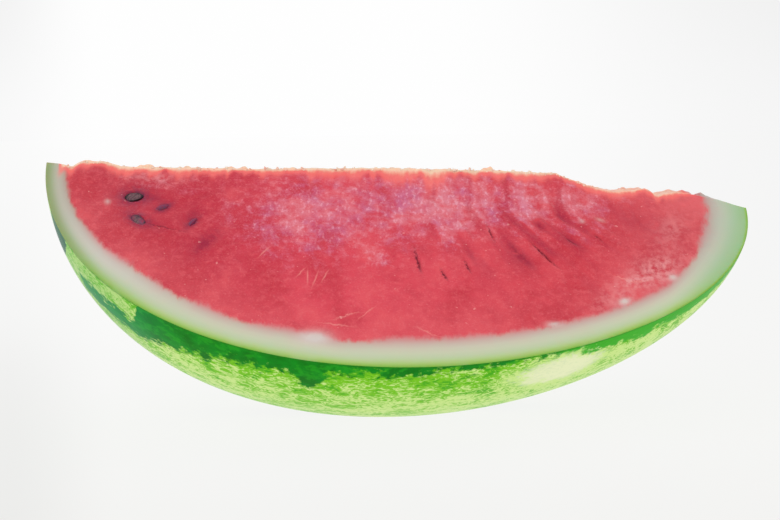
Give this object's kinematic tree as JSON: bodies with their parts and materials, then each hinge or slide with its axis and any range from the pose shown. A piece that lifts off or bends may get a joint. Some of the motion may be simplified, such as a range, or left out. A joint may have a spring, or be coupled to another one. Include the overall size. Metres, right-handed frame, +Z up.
{
  "type": "watermelon wedge",
  "caption": "Quarter of a watermelon cut lengthwise, standing on its striped green rind with the red flesh crest up, with dark seeds in the cut face.",
  "frame": {"origin": "on the surface that the wedge stands on, under the middle of its bounding box", "axes": "+X along the melon from its full end to its slim end, +Y from the front cut face to the back cut face, +Z up through the crest"},
  "size_m": [0.3068, 0.1522, 0.1123],
  "materials": {
    "flesh_and_rind": "satin",
    "seed_coat": "satin"
  },
  "bodies": {
    "root": {"wedge": "flesh_and_rind", "seed_upper": "seed_coat", "seed_lower": "seed_coat", "seed_inner": "seed_coat", "seed_deep": "seed_coat"}
  },
  "joints": []
}
